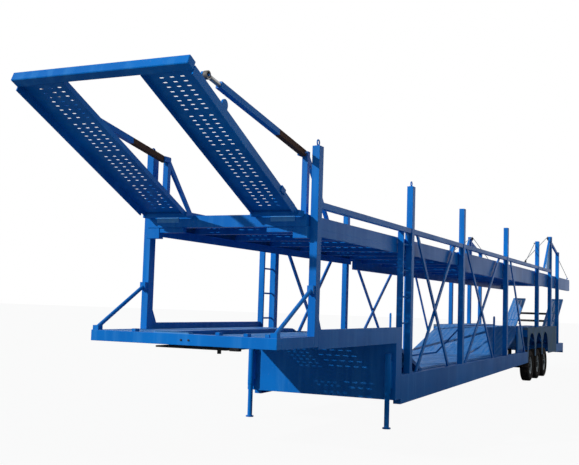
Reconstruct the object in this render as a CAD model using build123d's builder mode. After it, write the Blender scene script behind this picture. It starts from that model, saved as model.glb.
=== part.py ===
# Car transporter semi-trailer: a two-deck open frame that carries cars one behind another.
# Front of the trailer is at -X, its left side at +Y, the ground at Z = 0. Lengths in millimetres.
# Stations are counted back from the front pair of posts; at() turns a station into an X place.
from build123d import *
from math import cos, hypot, radians, sin
import os

os.makedirs("parts", exist_ok=True)

# Main sizes
half_width = 1250
slack = 0.3  # gap between neighbouring pieces that are welded or bolted together
running_gap = 12  # least gap between the tilting deck and the posts it passes
web = 8  # plate of webs and walls
flange = 10  # plate of flanges

# Stations along the trailer
nose_station = -1100
post_stations = (0, 3800, 7100, 11200, 15350)
step_station = 3050  # front wall of the low bed
first_axle_station = 14400
axle_pitch = 1060
axle_stations = tuple(first_axle_station + number * axle_pitch for number in range(3))
low_beam_end_station = 13780
guard_end_station = 18500
mast_station = 17500
tail_post_station = 18900
frame_end_station = 19800

# Decks
gooseneck_top = 1430
gooseneck_bottom = 1300
gooseneck_side_top = 1510
low_deck_top = 780
hump_top = 1400
tail_deck_top = 860
upper_deck_top = 2900
upper_deck_front_station = -160
deck_split_station = 7300
upper_deck_end_station = 22000

# Wheel tracks: pans that the cars stand on
beam_width = 120  # width of the low side beams
track_side_gap = 45  # from a pan's outer flange to the side beam
track_width = 610
track_inner = half_width - beam_width - track_side_gap - track_width
track_depth = 60
track_plate = 8
track_middle = track_inner + track_width / 2
tread_gap = track_depth + slack  # from a deck's top down to the beams that carry its pans

# Posts and rails
post_length = 130
post_width = 100
post_top = 3750
post_middle = half_width - post_width / 2
post_inner = half_width - post_width
mast_top = 4050
rail_bottom = 2990
rail_size = 80

# Low bed and chassis
beam_front_bottom = 340
beam_rear_bottom = 500
step_bottom = 420
step_depth = 260
cross_width = 90
chassis_bottom = 760
chassis_top = 1250
guard_top = 1340
guard_rail_depth = 60
tail_bottom = 620

# Wheels
tyre_radius = 400
tyre_width = 240
rim_radius = 230
wheel_inset = 15  # from the trailer's side to a tyre
wheel_middle = half_width - wheel_inset - tyre_width / 2
wheel_flats = 48  # the wheels are turned from this many flats, which keeps them light to draw
hub_half = 110
stub_radius = 45
axle_radius = 70

# Upper deck that tilts at the rear
deck_beam_depth = 340
deck_beam_bottom = upper_deck_top - deck_beam_depth
deck_beam_width = 90
deck_lip = 30  # the side beams stand this much above the tread
deck_half_width = post_inner - running_gap
deck_inside = deck_half_width - deck_beam_width - slack
deck_hinge_station = deck_split_station + 40
deck_hinge_drop = 130  # from the upper deck's top down to its hinge
deck_hinge_height = upper_deck_top - deck_hinge_drop
pin_fit = 0.3  # radial gap round a hinge pin

# Head ramp over the towing vehicle's cab, and the telescopic props that hold it
ramp_hinge_station = -280
ramp_hinge_height = upper_deck_top
ramp_length = 2735
ramp_angle = 24.5
ramp_half_width = track_inner + track_width
knuckle_radius = 35
hinge_pin_radius = 20
head_mast_station = 60
head_mast_top = 3700
head_mast_size = 74
head_mast_inset = 86  # from the upper deck's side to a mast
head_mast_middle = deck_half_width - head_mast_inset - head_mast_size / 2
prop_size = 70
prop_pin_radius = 12
prop_rod_radius = 26
prop_rod_shown = 246.009  # from a prop's tube to its eye when the ramp is up

# Tail ramp at the end of the lower deck
rear_beam_depth = 60
tail_hinge_station = frame_end_station + rear_beam_depth + 45
tail_hinge_height = 780
tail_ramp_length = 3050
tail_ramp_angle = 29
tail_track_width = 420
tail_track_inner = 430

# Whole length, which sets where X = 0 lies
tip_beam_size = 120
tip_beam_rise = 75
front_reach = ramp_hinge_station - (ramp_length + tip_beam_size) * cos(radians(ramp_angle))
rear_reach = tail_hinge_station + tail_ramp_length * cos(radians(tail_ramp_angle))
mid_station = (front_reach + rear_reach) / 2


def at(station):
    return station - mid_station


def beam(stations, y_range, z_range, mode=Mode.ADD):
    """Square-ended bar along the axes, between two stations."""
    x_range = (at(stations[0]), at(stations[1]))
    sides = (x_range, y_range, z_range)
    with Locations(tuple((low + high) / 2 for low, high in sides)):
        Box(*(abs(high - low) for low, high in sides), mode=mode)


def both_sides(stations, y_range, z_range):
    """The same bar on the left and on the right."""
    for side in (1, -1):
        beam(stations, (side * y_range[0], side * y_range[1]), z_range)


def cross_beam(station, y_range, z_range):
    """Beam of channel section across the trailer, open to the rear."""
    beam((station, station + cross_width), y_range, z_range)
    beam((station + web, station + cross_width), y_range, (z_range[0] + flange, z_range[1] - flange),
         mode=Mode.SUBTRACT)


def round_bar(start, end, radius, mode=Mode.ADD):
    """Round bar from one point to another."""
    run = Vector(*end) - Vector(*start)
    with BuildSketch(Plane(origin=start, z_dir=run)) as section:
        Circle(radius)
    extrude(section.sketch, amount=run.length, mode=mode)


def cross_pin(station, height, y_range, radius, mode=Mode.ADD):
    """Round pin, or the hole for one, straight across the trailer."""
    low, high = sorted(y_range)
    round_bar((at(station), low, height), (at(station), high, height), radius, mode)


def side_plate(outline, y_range, inset=0, mode=Mode.ADD):
    """Plate in the vertical plane along the trailer; outline holds (station, height) pairs."""
    low, high = sorted(y_range)
    with BuildSketch(Plane.XZ.offset(-high)) as section:
        with BuildLine():
            Polyline(*((at(station), height) for station, height in outline), close=True)
        make_face()
        if inset:
            offset(amount=-inset, kind=Kind.INTERSECTION)
    extrude(section.sketch, amount=high - low, mode=mode)


def side_channel(outline, side, outer, width):
    """Side beam with a web on its outer face and a flange along every edge."""
    side_plate(outline, (side * (outer - width), side * outer))
    side_plate(outline, (side * (outer - width), side * (outer - web)), inset=flange, mode=Mode.SUBTRACT)


def save(builder, name):
    builder.part.label = name
    export_step(builder.part, f"parts/{name}.step")


def track(start, end, side, inner=track_inner, width=track_width):
    """Pan between two (station, height) points of its tread: a flat plate, a flange down each edge."""
    under = ((end[0], end[1] - track_depth), (start[0], start[1] - track_depth))
    side_plate((start, end) + under, (side * inner, side * (inner + width)))
    plate_under = ((start[0], start[1] - track_plate), (end[0], end[1] - track_plate))
    side_plate(plate_under + under, (side * (inner + track_plate), side * (inner + width - track_plate)),
               mode=Mode.SUBTRACT)


def sloped(plane, distances, y_range, rises, mode=Mode.ADD):
    """Box in an inclined plane: distances along it, places across, heights above it."""
    sizes = [high - low for low, high in (distances, y_range)]
    middles = [(high + low) / 2 for low, high in (distances, y_range)]
    with BuildSketch(plane.offset(rises[0])) as section:
        with Locations(tuple(middles)):
            Rectangle(*(abs(size) for size in sizes))
    extrude(section.sketch, amount=rises[1] - rises[0], mode=mode)


def sloped_track(plane, distances, side, inner, width):
    """Pan of an inclined ramp, centred on the ramp's plane."""
    half = track_depth / 2
    sloped(plane, distances, (side * inner, side * (inner + width)), (-half, half))
    sloped(plane, distances, (side * (inner + track_plate), side * (inner + width - track_plate)),
           (-half, half - track_plate), mode=Mode.SUBTRACT)


# Gooseneck frame: nose beam, side beams, raised side panels behind the front posts, cross beams
nose_end = nose_station + beam_width
post_front = -post_length / 2 - slack
post_rear = post_length / 2 + slack
panel_width = 60
gooseneck_cross_bottom = gooseneck_bottom - 30
gooseneck_cross_top = gooseneck_top - tread_gap
nose_bay = 650  # from the nose beam to the first cross beam
cross_bay = 435  # from the front posts to the next one
cross_pitch = 800
with BuildPart() as gooseneck_frame:
    beam((nose_station, nose_end), (-half_width, half_width), (gooseneck_bottom, gooseneck_top))
    both_sides((nose_end + slack, post_front), (half_width - beam_width, half_width),
               (gooseneck_bottom, gooseneck_top))
    both_sides((post_rear, step_station + step_depth), (half_width - panel_width, half_width),
               (gooseneck_cross_bottom, gooseneck_side_top))
    # each row: station, half length of the beam
    cross_rows = [(nose_end + nose_bay, half_width - beam_width)]
    for number in range(3):
        cross_rows.append((post_rear + cross_bay + number * cross_pitch, half_width - panel_width))
    cross_rows.append((step_station - slack - cross_width, half_width - panel_width))
    for station, reach in cross_rows:
        cross_beam(station, (slack - reach, reach - slack), (gooseneck_cross_bottom, gooseneck_cross_top))
save(gooseneck_frame, "gooseneck_frame")

with BuildPart() as gooseneck_tracks:
    for side in (1, -1):
        track((nose_end + slack, gooseneck_top), (step_station - slack, gooseneck_top), side)
save(gooseneck_tracks, "gooseneck_tracks")

# Coupling plate and kingpin
kingpin_station = -150
kingpin_radius = 25.4
kingpin_length = 72
collar_radius = 45
collar_depth = 12
coupling_plate = 20
coupling_ahead = 700  # how far the plate reaches in front of the kingpin
coupling_behind = 770
coupling_half_width = 480
coupling_top = gooseneck_cross_bottom - slack
coupling_bottom = coupling_top - coupling_plate
with BuildPart() as kingpin_plate:
    beam((kingpin_station - coupling_ahead, kingpin_station + coupling_behind),
         (-coupling_half_width, coupling_half_width), (coupling_bottom, coupling_top))
    collar_bottom = coupling_bottom - collar_depth
    round_bar((at(kingpin_station), 0, coupling_bottom), (at(kingpin_station), 0, collar_bottom), collar_radius)
    round_bar((at(kingpin_station), 0, collar_bottom),
              (at(kingpin_station), 0, collar_bottom - kingpin_length), kingpin_radius)
save(kingpin_plate, "kingpin_plate")

# Step wall between the gooseneck and the low bed
sill_depth = 150
sill_height = 230
with BuildPart() as step_wall:
    beam((step_station, step_station + web), (-half_width, half_width), (step_bottom, coupling_top))
    both_sides((step_station + web + slack, step_station + step_depth), (half_width - web, half_width),
               (step_bottom, coupling_top))
    sill_half = half_width - web - slack
    beam((step_station + web + slack, step_station + web + sill_depth), (-sill_half, sill_half),
         (step_bottom, step_bottom + sill_height))
save(step_wall, "step_wall")

# Landing legs in front of the step wall
leg_inset = 100  # from the trailer's side to a leg's middle
leg_middle = half_width - leg_inset
leg_radius = 50
leg_wall = 12  # how much slimmer the sliding leg is than its sleeve
leg_station = step_station - 85
leg_sleeve_bottom = 520
leg_sleeve_top = 1120
leg_bracket_half = 50
foot_radius = 62
foot_plate = 20
with BuildPart() as landing_legs:
    for side in (1, -1):
        x, y = at(leg_station), side * leg_middle
        round_bar((x, y, 0), (x, y, foot_plate), foot_radius)
        round_bar((x, y, foot_plate), (x, y, leg_sleeve_bottom), leg_radius - leg_wall)
        round_bar((x, y, leg_sleeve_bottom), (x, y, leg_sleeve_top), leg_radius)
        beam((leg_station, step_station - slack), (y - leg_bracket_half, y + leg_bracket_half),
             (leg_sleeve_bottom + 80, leg_sleeve_top - 120))
save(landing_legs, "landing_legs")

# Low side beams: deep at the front, shallower towards the wheels
low_beam_start = step_station + step_depth + slack
with BuildPart() as low_beams:
    low_outline = (
        (low_beam_start, beam_front_bottom),
        (low_beam_end_station, beam_rear_bottom),
        (low_beam_end_station, low_deck_top),
        (low_beam_start, low_deck_top),
    )
    for side in (1, -1):
        side_channel(low_outline, side, half_width, beam_width)
save(low_beams, "low_beams")

# Cross beams under the low bed, from web to web
low_cross_first = post_stations[1] + 400
low_cross_pitch = 1100
chassis_bay = 1380  # from the low beams' end forward to the cross beam that carries the chassis rails
cross_stations = [low_cross_first + number * low_cross_pitch for number in range(8)]
cross_stations.append(low_beam_end_station - chassis_bay)
with BuildPart() as low_cross_beams:
    cross_reach = half_width - web - slack
    for station in cross_stations:
        cross_beam(station, (-cross_reach, cross_reach), (beam_rear_bottom + 40, low_deck_top - tread_gap))
save(low_cross_beams, "low_cross_beams")

# Lower wheel tracks: down the step, along the bed, up over the wheels and down to the tail
with BuildPart() as lower_tracks:
    deck_line = (
        (step_station + web + slack, gooseneck_top),
        (5000, low_deck_top),
        (11300, low_deck_top),
        (13700, hump_top),
        (17800, hump_top),
        (frame_end_station, tail_deck_top),
    )
    for start, end in zip(deck_line, deck_line[1:]):
        for side in (1, -1):
            track((start[0] + slack, start[1]), end, side)
save(lower_tracks, "lower_tracks")

# Chassis rails of I section over the axles
rail_inset = 175  # from the wheel tracks' inner edge to a chassis rail
rail_inner = track_inner - rail_inset
rail_width = 100
rail_outer = rail_inner + rail_width
rail_pocket = (rail_width - web) / 2  # from a flange's edge to the web
chassis_start = cross_stations[-1] + cross_width + slack
chassis_end = 19500
with BuildPart() as chassis_rails:
    chassis_outline = (
        (chassis_start, beam_rear_bottom + 20),
        (13400, chassis_bottom),
        (chassis_end, chassis_bottom),
        (chassis_end, tail_deck_top),
        (17900, chassis_top),
        (13750, chassis_top),
        (chassis_start, chassis_bottom),
    )
    for side in (1, -1):
        side_plate(chassis_outline, (side * rail_inner, side * rail_outer))
        for face, way in ((rail_inner, 1), (rail_outer, -1)):
            side_plate(chassis_outline, (side * face, side * (face + way * rail_pocket)), inset=flange,
                       mode=Mode.SUBTRACT)
save(chassis_rails, "chassis_rails")

# Beams between the chassis rails, and outriggers from them to the sides
outrigger_bottom = 1150
chassis_cross_bottom = 900
axle_bay = axle_pitch / 2 + 40  # from the first or last axle to the cross beam beyond it
with BuildPart() as chassis_cross_beams:
    outrigger_end = half_width - web - slack
    between = rail_inner + rail_pocket - slack
    beam_middles = [axle_stations[0] - axle_bay]
    beam_middles += [(ahead + behind) / 2 for ahead, behind in zip(axle_stations, axle_stations[1:])]
    beam_middles.append(axle_stations[-1] + axle_bay)
    for middle in beam_middles:
        station = middle - cross_width / 2
        cross_beam(station, (-between, between), (chassis_cross_bottom, outrigger_bottom))
        for side in (1, -1):
            cross_beam(station, (side * (rail_outer + slack), side * outrigger_end),
                       (outrigger_bottom, guard_top - slack))
save(chassis_cross_beams, "chassis_cross_beams")

# Axles, springs and hangers
axle_height = tyre_radius
spring_middle = (rail_inner + rail_outer) / 2
spring_bottom = axle_height + axle_radius + slack
spring_rise = 60
rocker_length = 90  # hanger between two springs
spring_half = (axle_pitch - rocker_length) / 2
with BuildPart() as axles:
    for station in axle_stations:
        beam_reach = wheel_middle - hub_half - slack
        stub_reach = wheel_middle - 30
        cross_pin(station, axle_height, (-beam_reach, beam_reach), axle_radius)
        cross_pin(station, axle_height, (-stub_reach, stub_reach), stub_radius)
save(axles, "axles")

with BuildPart() as leaf_springs:
    for station in axle_stations:
        spring = (
            (station - spring_half, spring_bottom + spring_rise),
            (station - spring_half + 20, spring_bottom + 100),
            (station, spring_bottom + 60),
            (station + spring_half - 20, spring_bottom + 100),
            (station + spring_half, spring_bottom + spring_rise),
            (station, spring_bottom),
        )
        for side in (1, -1):
            side_plate(spring, (side * (spring_middle - 35), side * (spring_middle + 35)))
save(leaf_springs, "leaf_springs")

with BuildPart() as spring_hangers:
    hanger_length = 120
    front_end = axle_stations[0] - spring_half
    rear_end = axle_stations[-1] + spring_half
    hangers = [(front_end - hanger_length, front_end), (rear_end, rear_end + hanger_length)]
    for station, following in zip(axle_stations, axle_stations[1:]):
        hangers.append((station + spring_half, following - spring_half))
    for start, end in hangers:
        both_sides((start + slack, end - slack), (spring_middle - 45, spring_middle + 45),
                   (spring_bottom + spring_rise, chassis_bottom - slack))
save(spring_hangers, "spring_hangers")

# Wheels: a tyre and a rim on each end of each axle
wheels = []
for number, station in enumerate(axle_stations, start=1):
    for side_name, side in (("left", 1), ("right", -1)):
        wheels.append((f"{number}_{side_name}", station, side))


def ring(centre, side, stages, mode=Mode.ADD):
    """Flat-sided ring or disc round a wheel's axle, through stages of (distance outwards, radius)."""
    for (near, near_radius), (far, far_radius) in zip(stages, stages[1:]):
        ends = []
        for reach, radius in ((near, near_radius), (far, far_radius)):
            middle = (centre[0], centre[1] + side * reach, centre[2])
            with BuildSketch(Plane(origin=middle, x_dir=(1, 0, 0), z_dir=(0, 1, 0))) as end:
                RegularPolygon(radius, wheel_flats)
            ends.append(end.sketch)
        loft(ends, ruled=True, mode=mode)


tyre_half = tyre_width / 2
shoulder_width = 36
shoulder_drop = 20
rim_edge = rim_radius - slack
rim_half = 90
rim_wall = 20
disc_out = 30  # the wheel disc's outer face at the rim, and at the bolt circle
disc_crown = 50
bolt_circle_radius = 110
hub_cap_radius = 80
drum_radius = 190
for name, station, side in wheels:
    centre = (at(station), side * wheel_middle, axle_height)
    with BuildPart() as tyre:
        ring(centre, side, ((-tyre_half, tyre_radius - shoulder_drop), (-tyre_half + shoulder_width, tyre_radius),
                            (tyre_half - shoulder_width, tyre_radius), (tyre_half, tyre_radius - shoulder_drop)))
        ring(centre, side, ((-tyre_half, rim_radius), (tyre_half, rim_radius)), mode=Mode.SUBTRACT)
    save(tyre, f"tyre_{name}")
    with BuildPart() as rim:
        ring(centre, side, ((-rim_half, rim_edge), (rim_half, rim_edge)))
        ring(centre, side, ((-rim_half, rim_edge - rim_wall), (10, rim_edge - rim_wall)), mode=Mode.SUBTRACT)
        ring(centre, side, ((disc_crown, bolt_circle_radius), (disc_crown + 0.1, bolt_circle_radius),
                            (rim_half, rim_edge - rim_wall)), mode=Mode.SUBTRACT)
        ring(centre, side, ((disc_out, hub_cap_radius), (rim_half - 10, hub_cap_radius)))
        ring(centre, side, ((-hub_half, drum_radius), (11, drum_radius)))
        cross_pin(station, axle_height, (side * (wheel_middle - hub_half), side * (wheel_middle - 25)),
                  stub_radius + slack, mode=Mode.SUBTRACT)
    save(rim, f"rim_{name}")

# Mudguards: an outer plate with three arches, and the rail on its top that carries the posts
guard_start = low_beam_end_station + slack
skirt = 120  # width of the plate's deeper tongue in front of the wheels
guard_bottom = 640
arch_gap = 40  # between a tyre and its arch
arch_radius = tyre_radius + arch_gap
arch_top = 1250
arch_centre_height = arch_top - arch_radius
guard_rail_top = guard_top + guard_rail_depth
with BuildPart() as mudguards:
    guard_outline = (
        (guard_start, beam_rear_bottom),
        (guard_start + skirt, beam_rear_bottom),
        (guard_start + skirt, guard_bottom),
        (guard_end_station, guard_bottom),
        (guard_end_station, guard_top),
        (guard_start, guard_top),
    )
    for side in (1, -1):
        side_plate(guard_outline, (side * (half_width - web), side * half_width))
        for station in axle_stations:
            cross_pin(station, arch_centre_height, (side * (half_width - web), side * half_width), arch_radius,
                      mode=Mode.SUBTRACT)
            beam((station - arch_radius, station + arch_radius), (side * (half_width - web), side * half_width),
                 (guard_bottom, arch_centre_height), mode=Mode.SUBTRACT)
        beam((guard_start, guard_end_station), (side * post_inner, side * half_width), (guard_top, guard_rail_top))
save(mudguards, "mudguards")

# Rear frame behind the wheels, with the ears and pins of the tail ramp
tail_hinges = (tail_track_inner, tail_track_inner + tail_track_width)
ear_plate = 22
ear_reach = 35
with BuildPart() as rear_frame:
    both_sides((guard_end_station + slack, frame_end_station), (half_width - beam_width, half_width),
               (tail_bottom, tail_deck_top))
    beam((frame_end_station + slack, frame_end_station + rear_beam_depth), (-half_width, half_width),
         (560, tail_deck_top))
    cross_end = half_width - beam_width - slack
    for low, high in ((-cross_end, -rail_outer - slack), (rail_outer + slack, cross_end)):
        cross_beam(19400, (low, high), (tail_bottom + 20, tail_deck_top - tread_gap))
    for side in (1, -1):
        for inner, outer in ((tail_hinges[0] - 3 - ear_plate, tail_hinges[0] - 3),
                             (tail_hinges[1] + 3, tail_hinges[1] + 3 + ear_plate)):
            beam((frame_end_station + rear_beam_depth, tail_hinge_station + ear_reach), (side * inner, side * outer),
                 (tail_hinge_height - ear_reach, tail_hinge_height + ear_reach))
        cross_pin(tail_hinge_station, tail_hinge_height,
                  (side * (tail_hinges[0] - 3 - ear_plate), side * (tail_hinges[1] + 3 + ear_plate)),
                  hinge_pin_radius)
save(rear_frame, "rear_frame")

# Tail lamps on the rear beam
lamp_gap = 5  # between a lamp and the ear beside it
lamp_width = 300
lamp_height = 100
lamp_depth = 40
lamp_bottom = tail_bottom + 20
with BuildPart() as tail_lamps:
    lamp_start = frame_end_station + rear_beam_depth + slack
    lamp_inner = tail_hinges[1] + 3 + ear_plate + lamp_gap
    both_sides((lamp_start, lamp_start + lamp_depth), (lamp_inner, lamp_inner + lamp_width),
               (lamp_bottom, lamp_bottom + lamp_height))
save(tail_lamps, "tail_lamps")

# Posts on each side, with a gusset behind the foot of the front one
for side_name, side in (("left", 1), ("right", -1)):
    post_span = (side * post_inner, side * half_width)
    # each row: station, foot height
    feet = (
        (post_stations[0], gooseneck_bottom),
        (post_stations[1], low_deck_top + slack),
        (post_stations[2], low_deck_top + slack),
        (post_stations[3], low_deck_top + slack),
        (post_stations[4], guard_rail_top + slack),
    )
    with BuildPart() as posts:
        for station, foot in feet:
            beam((station - post_length / 2, station + post_length / 2), post_span, (foot, post_top))
    save(posts, f"posts_{side_name}")

    # Rear mast: tall main post with a leg raking forward to the rail, the tail post, and the bar between
    mast_half = 70
    tail_half = 60
    tail_post_top = 3680
    tie_span = (side * (post_middle - 30), side * (post_middle + 30))
    with BuildPart() as mast:
        beam((mast_station - mast_half, mast_station + mast_half), post_span, (guard_rail_top + slack, mast_top))
        beam((tail_post_station - tail_half, tail_post_station + tail_half), post_span,
             (tail_deck_top + slack, tail_post_top))
        front = mast_station - mast_half - slack
        rear = mast_station + mast_half + slack
        rail_top = rail_bottom + rail_size + slack
        side_plate(((front, mast_top - 20), (front, mast_top - 140), (front - 900, rail_top), (front - 980, rail_top)),
                   tie_span)
        tail_front = tail_post_station - tail_half - slack
        side_plate(((rear, mast_top - 120), (rear, mast_top - 190), (tail_front, tail_post_top - 90),
                    (tail_front, tail_post_top - 20)), tie_span)
    save(mast, f"mast_{side_name}")

# Guard rails beside the upper deck, from post to post
with BuildPart() as guard_rails:
    ends = tuple((station, post_length / 2) for station in post_stations) + ((mast_station, mast_half),)
    for (start, start_half), (end, end_half) in zip(ends, ends[1:]):
        both_sides((start + start_half + slack, end - end_half - slack),
                   (post_middle - rail_size / 2, post_middle + rail_size / 2), (rail_bottom, rail_bottom + rail_size))
save(guard_rails, "guard_rails")

# Ladders in front of the second posts: one stile, with rungs to the post
stile_station = 3350
stile_half = 20
rung_radius = 14
rung_pitch = 410
with BuildPart() as ladders:
    for side in (1, -1):
        y = side * post_middle
        beam((stile_station - stile_half, stile_station + stile_half), (y - stile_half, y + stile_half),
             (low_deck_top + slack, rail_bottom - slack))
        for rung in range(4):
            height = gooseneck_side_top + 60 + rung * rung_pitch
            rung_end = post_stations[1] - post_length / 2 - slack
            round_bar((at(stile_station), y, height), (at(rung_end), y, height), rung_radius)
save(ladders, "ladders")

# Crossed braces in the side bays, one bar of each pair inside the other
brace_width = 30
brace_depth = 75
brace_foot = low_deck_top + slack
brace_top = rail_bottom - slack
# each row: station of the top, station of the foot, place across the post (1 outside, -1 inside)
brace_table = (
    (post_stations[1] + 330, post_stations[2] - 950, 1),
    (post_stations[2] - 500, post_stations[1] + 480, -1),
    (post_stations[2] + 330, post_stations[3] - 1350, 1),
    (post_stations[3] - 700, post_stations[2] + 420, -1),
    (post_stations[3] + 450, low_beam_end_station - 250, 1),
)
for side_name, side in (("left", 1), ("right", -1)):
    with BuildPart() as braces:
        for top, foot, layer in brace_table:
            spread = brace_depth * hypot(top - foot, brace_top - brace_foot) / (brace_top - brace_foot) / 2
            inner_face = side * (post_middle + layer * slack)
            outer_face = side * (post_middle + layer * (slack + brace_width))
            side_plate(((foot - spread, brace_foot), (foot + spread, brace_foot),
                        (top + spread, brace_top), (top - spread, brace_top)), (inner_face, outer_face))
    save(braces, f"braces_{side_name}")

# Round braces from the nose beam up to the front posts, with a block at each end
nose_brace_radius = 25
nose_brace_top = 1990
brace_block = 50  # half height of the block at its head
with BuildPart() as nose_braces:
    for side in (1, -1):
        y = side * post_middle
        foot_station = nose_station + 60
        head_station = -post_length / 2 - slack - 30
        beam((foot_station - 45, foot_station + 45), (y - 40, y + 40), (gooseneck_top + slack, gooseneck_top + 55))
        beam((head_station - 30, head_station + 30), (y - 40, y + 40),
             (nose_brace_top - brace_block, nose_brace_top + brace_block))
        round_bar((at(foot_station), y, gooseneck_top + 35), (at(head_station), y, nose_brace_top),
                  nose_brace_radius)
save(nose_braces, "nose_braces")

# Fixed front part of the upper deck, with the ears and pins of both hinges
front_beam_depth = 120
fixed_beam_depth = 150
front_beam_bottom = upper_deck_top - fixed_beam_depth
fixed_start = upper_deck_front_station + front_beam_depth + slack
fixed_end = deck_split_station - 40
upper_cross_bay = 940  # from the front beam to the first cross beam
upper_cross_pitch = 1200
ramp_ears = (track_inner - 3, ramp_half_width + 3)
pin_reach = 5  # how far a pin stands out of its ear or web
with BuildPart() as upper_frame:
    beam((upper_deck_front_station, upper_deck_front_station + front_beam_depth), (-deck_half_width, deck_half_width),
         (front_beam_bottom, upper_deck_top))
    for side in (1, -1):
        for inner, outer in ((ramp_ears[0] - ear_plate, ramp_ears[0]), (ramp_ears[1], ramp_ears[1] + ear_plate)):
            beam((ramp_hinge_station - ear_reach, upper_deck_front_station), (side * inner, side * outer),
                 (ramp_hinge_height - ear_reach, ramp_hinge_height + ear_reach))
        cross_pin(ramp_hinge_station, ramp_hinge_height,
                  (side * (ramp_ears[0] - ear_plate), side * (ramp_ears[1] + ear_plate)), hinge_pin_radius)
        fixed_outline = (
            (fixed_start, upper_deck_top - fixed_beam_depth),
            (fixed_end, upper_deck_top - fixed_beam_depth),
            (fixed_end, upper_deck_top),
            (fixed_start, upper_deck_top),
        )
        side_channel(fixed_outline, side, deck_half_width, deck_beam_width)
        # ear inside the moving deck's web, with the pin that passes out through it
        ear_outer = deck_half_width - web - 5
        beam((fixed_end - 60, deck_hinge_station + 45), (side * (ear_outer - 28), side * ear_outer),
             (deck_hinge_height - 45, deck_hinge_height + 45))
        cross_pin(deck_hinge_station, deck_hinge_height,
                  (side * (ear_outer - 28), side * (deck_half_width + pin_reach)), hinge_pin_radius)
    for number in range(6):
        cross_beam(fixed_start + upper_cross_bay + number * upper_cross_pitch, (-deck_inside, deck_inside),
                   (upper_deck_top - fixed_beam_depth, upper_deck_top - tread_gap))
save(upper_frame, "upper_frame")

upper_track_width = deck_inside - track_inner - slack
with BuildPart() as upper_tracks:
    for side in (1, -1):
        track((fixed_start, upper_deck_top), (fixed_end, upper_deck_top), side, width=upper_track_width)
save(upper_tracks, "upper_tracks")

# Ties from the posts to the fixed upper deck
with BuildPart() as deck_brackets:
    for station in post_stations[:3]:
        both_sides((station - 45, station + 45), (deck_half_width + slack, post_inner - slack),
                   (upper_deck_top - fixed_beam_depth, upper_deck_top - 30))
save(deck_brackets, "deck_brackets")

# Masts of the head ramp, each with a stay raking back to the deck and an ear for its prop
prop_foot_station = head_mast_station - head_mast_size / 2 - 70
prop_foot_height = head_mast_top - 30
with BuildPart() as head_masts:
    mast_inner = head_mast_middle - head_mast_size / 2
    mast_outer = head_mast_middle + head_mast_size / 2
    prop_ear = (mast_inner - 20, mast_inner)
    mast_back = head_mast_station + head_mast_size / 2
    for side in (1, -1):
        beam((head_mast_station - head_mast_size / 2, mast_back), (side * mast_inner, side * mast_outer),
             (upper_deck_top + slack, head_mast_top))
        beam((prop_foot_station - ear_reach, head_mast_station), (side * prop_ear[0], side * prop_ear[1]),
             (prop_foot_height - ear_reach, prop_foot_height + ear_reach))
        cross_pin(prop_foot_station, prop_foot_height,
                  (side * prop_ear[0], side * (head_mast_middle + prop_size / 2 + pin_reach)), prop_pin_radius)
        stay_top = mast_back + slack
        side_plate(((stay_top, head_mast_top - 10), (stay_top, head_mast_top - 110),
                    (760, upper_deck_top + slack), (830, upper_deck_top + slack)),
                   (side * (head_mast_middle - 20), side * (head_mast_middle + 20)))
save(head_masts, "head_masts")

# Tilting rear part of the upper deck
deck_start = deck_split_station
deck_outline = (
    (deck_start, deck_beam_bottom),
    (upper_deck_end_station, deck_beam_bottom),
    (upper_deck_end_station, upper_deck_top + deck_lip),
    (deck_start, upper_deck_top + deck_lip),
)
tail_beam_start = upper_deck_end_station - cross_width
with BuildPart() as rear_deck_frame:
    for side in (1, -1):
        side_channel(deck_outline, side, deck_half_width, deck_beam_width)
        # the front end is open round the ear of the fixed deck, and the web is bored for its pin
        beam((deck_start - 1, deck_start + flange + 1),
             (side * (deck_half_width - deck_beam_width), side * (deck_half_width - web)),
             (deck_hinge_height - 65, deck_hinge_height + 65), mode=Mode.SUBTRACT)
        cross_pin(deck_hinge_station, deck_hinge_height, (side * (deck_half_width - web), side * deck_half_width),
                  hinge_pin_radius + pin_fit, mode=Mode.SUBTRACT)
    deck_crosses = 12
    for number in range(deck_crosses):
        station = deck_start + 300 + number * (tail_beam_start - deck_start - 300) / (deck_crosses - 1)
        cross_beam(station, (-deck_inside, deck_inside), (upper_deck_top - 200, upper_deck_top - tread_gap))
save(rear_deck_frame, "rear_deck_frame")

with BuildPart() as rear_deck_tracks:
    for side in (1, -1):
        track((deck_start, upper_deck_top), (upper_deck_end_station, upper_deck_top), side, width=upper_track_width)
save(rear_deck_tracks, "rear_deck_tracks")

# Head ramp, drawn flat in its own inclined plane
tilt = radians(ramp_angle)
ramp_plane = Plane(origin=(at(ramp_hinge_station), 0, ramp_hinge_height),
                   x_dir=(-cos(tilt), 0, sin(tilt)), z_dir=(sin(tilt), 0, cos(tilt)))
track_start = 20  # from a hinge line to the end of the ramp's pans
eye_distance = ramp_length - 315
eye_rise = 171
eye_place = ramp_plane.from_local_coords(Vector(eye_distance, 0, eye_rise))
eye_station = eye_place.X + mid_station
lug_y = (head_mast_middle - 60, head_mast_middle - 35)
with BuildPart() as head_ramp:
    for side in (1, -1):
        sloped_track(ramp_plane, (track_start, ramp_length), side, track_inner, track_width)
        cross_pin(ramp_hinge_station, ramp_hinge_height, (side * track_inner, side * ramp_half_width), knuckle_radius)
        cross_pin(ramp_hinge_station, ramp_hinge_height, (side * track_inner, side * ramp_half_width),
                  hinge_pin_radius + pin_fit, mode=Mode.SUBTRACT)
        # lug and pin that the prop's eye hangs on
        sloped(ramp_plane, (eye_distance - 40, eye_distance + 40), (side * lug_y[0], side * lug_y[1]),
               (track_depth / 2, eye_rise + 35))
        cross_pin(eye_station, eye_place.Z, (side * lug_y[0], side * (head_mast_middle + 30)), prop_pin_radius)
    sloped(ramp_plane, (ramp_length + slack, ramp_length + tip_beam_size), (-ramp_half_width, ramp_half_width),
           (-track_depth / 2, tip_beam_rise))
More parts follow.
